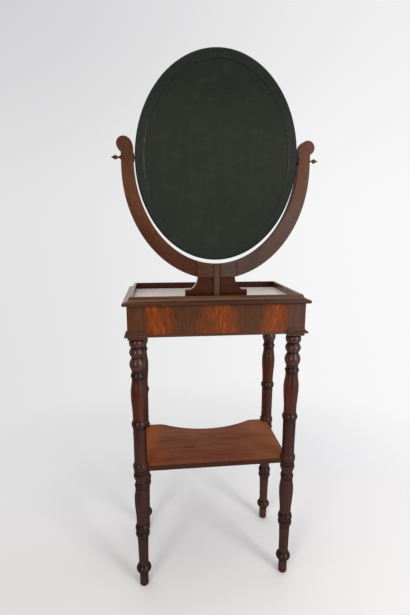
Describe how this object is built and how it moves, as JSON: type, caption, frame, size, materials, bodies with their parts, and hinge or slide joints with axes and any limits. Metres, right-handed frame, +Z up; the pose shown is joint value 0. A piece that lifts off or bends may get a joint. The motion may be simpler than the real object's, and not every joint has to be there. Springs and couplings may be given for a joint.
{
  "type": "shaving stand",
  "caption": "Free-standing shaving stand: rimmed tray over a drawer on turned legs, a shelf below, and an oval swing mirror in a sliding yoke.",
  "frame": {"origin": "on the floor, under the middle of the tray", "axes": "+Z up, +Y towards the user who faces the mirror, +X right as seen from behind"},
  "size_m": [0.534, 0.316, 1.4855],
  "materials": {
    "mahogany": "french polished mahogany",
    "dark_mahogany": "darkened polished mahogany",
    "flame_veneer": "polished flame figured veneer",
    "shelf_mahogany": "worn polished mahogany board",
    "secondary_wood": "unpolished pale wood",
    "ebonised_frame": "dark stained wood",
    "back_board": "dull dark green-grey stain",
    "mirror_glass": "silvered glass",
    "packing": "felt and paper packing",
    "brass": "aged brass",
    "iron": "dark bronzed iron"
  },
  "bodies": {
    "stand": {"leg_rear_left": "mahogany", "leg_rear_right": "mahogany", "leg_front_left": "mahogany", "leg_front_right": "mahogany", "head_mouldings_rear": "dark_mahogany", "head_mouldings_front": "dark_mahogany", "rear_rail": "secondary_wood", "left_rail": "secondary_wood", "right_rail": "secondary_wood", "drawer_rail_upper": "mahogany", "drawer_rail_lower": "mahogany", "rear_veneer": "flame_veneer", "left_veneer": "mahogany", "right_veneer": "mahogany", "frieze_beads": "dark_mahogany", "drawer_runners": "secondary_wood", "drawer_guides": "secondary_wood", "drawer_kickers": "secondary_wood", "drawer_stops": "secondary_wood", "glue_blocks": "secondary_wood", "tray_board": "shelf_mahogany", "rim_rear": "mahogany", "rim_front": "mahogany", "rim_left": "mahogany", "rim_right": "mahogany", "shelf": "shelf_mahogany", "shelf_dowels": "secondary_wood", "bracket": "mahogany", "bracket_screws": "iron"},
    "drawer": {"drawer_front": "mahogany", "drawer_front_veneer": "flame_veneer", "drawer_cock_beads": "dark_mahogany", "drawer_side_left": "secondary_wood", "drawer_side_right": "secondary_wood", "drawer_back": "secondary_wood", "drawer_bottom": "secondary_wood", "drawer_knobs": "brass"},
    "clamp": {"clamp_screw": "brass"},
    "yoke": {"post": "dark_mahogany", "post_stop_pin": "secondary_wood", "yoke_block": "mahogany", "yoke_arm_left": "mahogany", "yoke_arm_right": "mahogany", "yoke_dowels": "secondary_wood", "pivot_washers": "iron"},
    "mirror": {"mirror_frame": "ebonised_frame", "mirror_glass": "mirror_glass", "mirror_packing": "packing", "mirror_back": "back_board", "mirror_back_pins": "iron", "mirror_sockets": "brass"},
    "pivot_left": {"pivot_screw_left": "iron"},
    "pivot_right": {"pivot_screw_right": "iron"}
  },
  "joints": [
    {"name": "post_lift", "type": "slide", "parent": "stand", "child": "yoke", "axis": [0, 0, 1], "range_m": [0, 0.058]},
    {"name": "mirror_tilt", "type": "hinge", "parent": "yoke", "child": "mirror", "pos_m": [0, -0.098, 1.235], "axis": [1, 0, 0], "continuous": true},
    {"name": "drawer_slide", "type": "slide", "parent": "stand", "child": "drawer", "axis": [0, 1, 0], "range_m": [0, 0.17]},
    {"name": "clamp_turn", "type": "hinge", "parent": "stand", "child": "clamp", "pos_m": [0, -0.086, 0.905], "axis": [0, 1, 0], "range_deg": [0, 360]},
    {"name": "pivot_left_turn", "type": "hinge", "parent": "yoke", "child": "pivot_left", "pos_m": [-0.242, -0.098, 1.235], "axis": [-1, 0, 0], "range_deg": [0, 360]},
    {"name": "pivot_right_turn", "type": "hinge", "parent": "yoke", "child": "pivot_right", "pos_m": [0.242, -0.098, 1.235], "axis": [1, 0, 0], "range_deg": [0, 360]}
  ]
}
